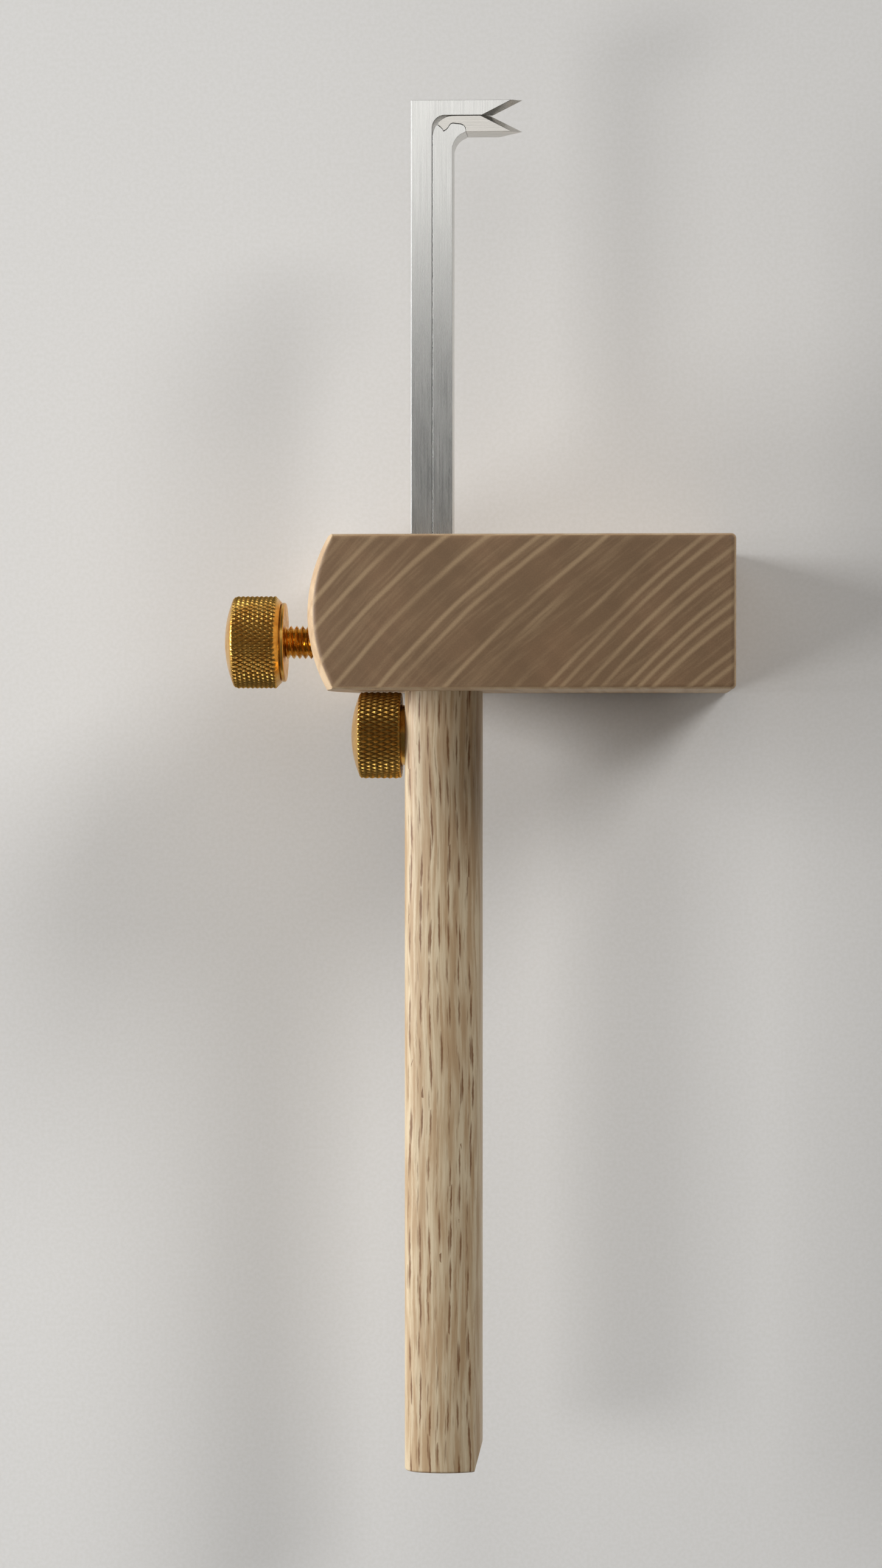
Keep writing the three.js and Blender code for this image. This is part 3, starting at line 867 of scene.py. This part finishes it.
def inner_blade_edge(material, shoulder, start_angle):
    """The edge steel: along the joint, out under the hook to its tip, and back over the shoulder."""
    line = joint_line()
    top, under = EDGE_HIGH.y, EDGE_LOW.y
    outline = line + [(line[-1][0], under), (TIP_X, under), (TIP_X, top)]
    outline += arc(shoulder, SHOULDER_RADIUS, 90, start_angle, 8)[:-1]
    edge = extrude("inner_blade_tip", outline, INNER_LOW.z, INNER_HIGH.z)
    grind_hook(edge, under, 1)
    soften(edge, 0.05, 1)
    piece(edge, "inner_blade", material, "inner_blade_edge")


def inner_blade_bar(material, shoulder, start_angle):
    """The bar: up its right side, out through the throat to the nose, back along the joint and down
    round the rest of the shoulder."""
    line = joint_line(JOINT_GAP)[::-1]
    nose_x, under = line[0][0], EDGE_LOW.y
    throat = curve_through((INNER_RIGHT, under - THROAT_HEIGHT),
                           ((INNER_RIGHT + 0.45, under - 0.95), (nose_x - 0.7, under - 0.35)),
                           ((nose_x - 0.05, under - 0.1), line[0]))
    outline = [(INNER_LEFT, INNER_LOW.y), (INNER_RIGHT, INNER_LOW.y)] + throat + line[1:]
    outline += arc(shoulder, SHOULDER_RADIUS, start_angle, 180, 8)
    bar = extrude("inner_blade_body", outline, INNER_LOW.z, INNER_HIGH.z)
    soften(bar, 0.05, 1)
    piece(bar, "inner_blade", material, "inner_blade_bar")


# ---- The object ------------------------------------------------------------------------

def build_gauge():
    """Makes every piece and puts its material on it; pieces of the same stuff share one material."""
    stem_material = stem_wood()
    turned_brass = brass("brass_turned", 0.2, 6.0)
    bar_steel = steel("steel_bar", rgb(207, 206, 202), "y", 0.26)
    edge_steel = steel("steel_edge", rgb(203, 199, 192), "x", 0.27)
    fence_block(fence_wood())
    stem_body(stem_material)
    channel_cover(stem_material)
    thread_bush(turned_brass)
    clamp_barrel(turned_brass)
    shoe("fence_shoe_disc", FENCE_SHOE_LOW, FENCE_SHOE_HIGH, FENCE_SCREW_Y, "fence_shoe",
         "fence_clamp_shoe", turned_brass)
    shoe("stem_shoe_disc", STEM_SHOE_LOW, STEM_SHOE_HIGH, STEM_SCREW_Y, "stem_shoe",
         "stem_clamp_shoe", turned_brass)
    fence_screw(turned_brass)
    stem_screw(turned_brass)
    outer_blade(bar_steel)
    inner_blade(bar_steel, edge_steel)


# ---- Floor, light and camera -----------------------------------------------------------

def build_floor():
    """A wide slab of pale paper, its top just under the gauge."""
    size, thickness, clearance = 3000, 10, 0.02
    ring = [(-size, -size), (size, -size), (size, size), (-size, size)]
    floor = extrude("floor", ring, -thickness, -clearance)
    floor.data.materials.append(floor_paper())


def lamp(name, kind, place, target, strength, colour=(1, 1, 1)):
    """A lamp at a place, turned to a target, both in millimetres. Returns its settings."""
    data = bpy.data.lights.new(name, kind)
    data.energy = strength
    data.color = colour
    made = bpy.data.objects.new(name, data)
    made.location = Vector(place) * MM
    direction = Vector(target) - Vector(place)
    made.rotation_euler = direction.to_track_quat("-Z", "Y").to_euler()
    bpy.context.scene.collection.objects.link(made)
    return data


def soft_box(name, place, target, size, power, colour=(1, 1, 1)):
    """A rectangular lamp, its size in millimetres."""
    data = lamp(name, "AREA", place, target, power, colour)
    data.shape = "RECTANGLE"
    data.size, data.size_y = (s * MM for s in size)


def build_lights():
    """A low soft key from the left, a small box above the left, a dim one beyond the blades where
    the steel mirrors it, a broad sky light from the far right that reaches all of the floor, and a
    faint even world."""
    middle = (0, -30, MID_Z)
    over_blades = (0, 60, MID_Z)
    small = (160, 160)
    soft_box("key_left", (-1300, 170, MID_Z + 280), middle, (480, 780), 22.0, (0.98, 0.99, 1.0))
    soft_box("left_box", (-420, -170, MID_Z + 520), middle, small, 0.9)
    soft_box("blade_glow", (-40, 180, MID_Z + 430), over_blades, small, 0.14)
    sky = lamp("far_right", "SUN", (430, 360, MID_Z + 470), middle, 1.15)
    sky.angle = math.radians(22)
    world = bpy.data.worlds.new("studio")
    world.use_nodes = True
    background = world.node_tree.nodes["Background"]
    background.inputs["Color"].default_value = (1.0, 1.0, 1.0, 1.0)
    background.inputs["Strength"].default_value = 0.1
    bpy.context.scene.world = world
    bpy.context.scene.view_settings.view_transform = "Standard"


def looking(place, target, up):
    """The rotation that points a camera at a target with `up` upwards in the picture."""
    back = (place - target).normalized()
    right = up.cross(back).normalized()
    return Matrix((right, back.cross(right), back)).transposed().to_euler()


def build_camera():
    """Looks almost straight down from right of the stem, so the stem's right side just shows."""
    camera_place = Vector((39.0, -19.5, MID_Z + 789.5))
    look_at = Vector((-0.5, -28.8, MID_Z))
    data = bpy.data.cameras.new("camera")
    data.sensor_fit = "VERTICAL"
    data.sensor_height = 36.0
    data.lens = 104.81
    data.clip_start = 0.01
    camera = bpy.data.objects.new("camera", data)
    camera.location = camera_place * MM
    camera.rotation_euler = looking(camera_place, look_at, Vector((0, 1, 0)))
    bpy.context.scene.collection.objects.link(camera)
    bpy.context.scene.camera = camera


build_camera()
build_gauge()
build_floor()
build_lights()
